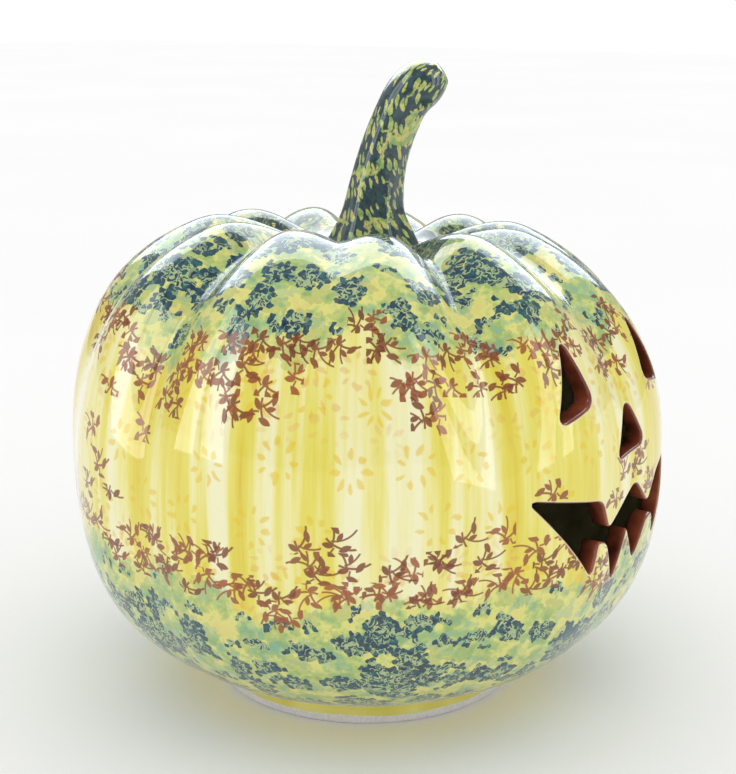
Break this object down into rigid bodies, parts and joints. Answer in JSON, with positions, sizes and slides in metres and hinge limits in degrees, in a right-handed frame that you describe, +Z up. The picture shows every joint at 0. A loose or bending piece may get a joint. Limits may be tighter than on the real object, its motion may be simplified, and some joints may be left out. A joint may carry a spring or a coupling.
{
  "type": "ceramic pumpkin lantern",
  "caption": "Hollow glazed stoneware pumpkin with a carved face, a bent stem and an open foot ring, standing over a battery tea light.",
  "frame": {"origin": "on the table under the middle of the body", "axes": "+Z up, the carved face looks towards -Y"},
  "size_m": [0.2385, 0.2379, 0.2497],
  "materials": {
    "glaze": "clear gloss glaze over stamped and brushed underglaze colours",
    "stem_glaze": "clear gloss glaze over dark stamped strokes",
    "foot_clay": "bare fired clay at the rim, thin glaze above it",
    "white_plastic": "fine moulded satin",
    "flame_plastic": "frosted amber",
    "led_epoxy": "clear cast",
    "steel": "nickel plated",
    "dark_plastic": "fine moulded satin"
  },
  "bodies": {
    "tea_light": {"light_housing": "white_plastic", "flame_lens": "flame_plastic", "flame_led": "led_epoxy", "base_plate": "white_plastic", "battery_door": "white_plastic", "door_screw": "steel", "coin_cell": "steel", "upper_contact": "steel", "side_contact": "steel"},
    "lantern": {"pumpkin_shell": "glaze", "stem": "stem_glaze", "foot_ring": "foot_clay"},
    "switch": {"switch_slider": "dark_plastic"}
  },
  "joints": [
    {"name": "lift_off", "type": "slide", "parent": "tea_light", "child": "lantern", "axis": [0, 0, 1], "range_m": [0, 0.07]},
    {"name": "switch_slide", "type": "slide", "parent": "tea_light", "child": "switch", "axis": [0, 1, 0], "range_m": [0, 0.003]}
  ]
}
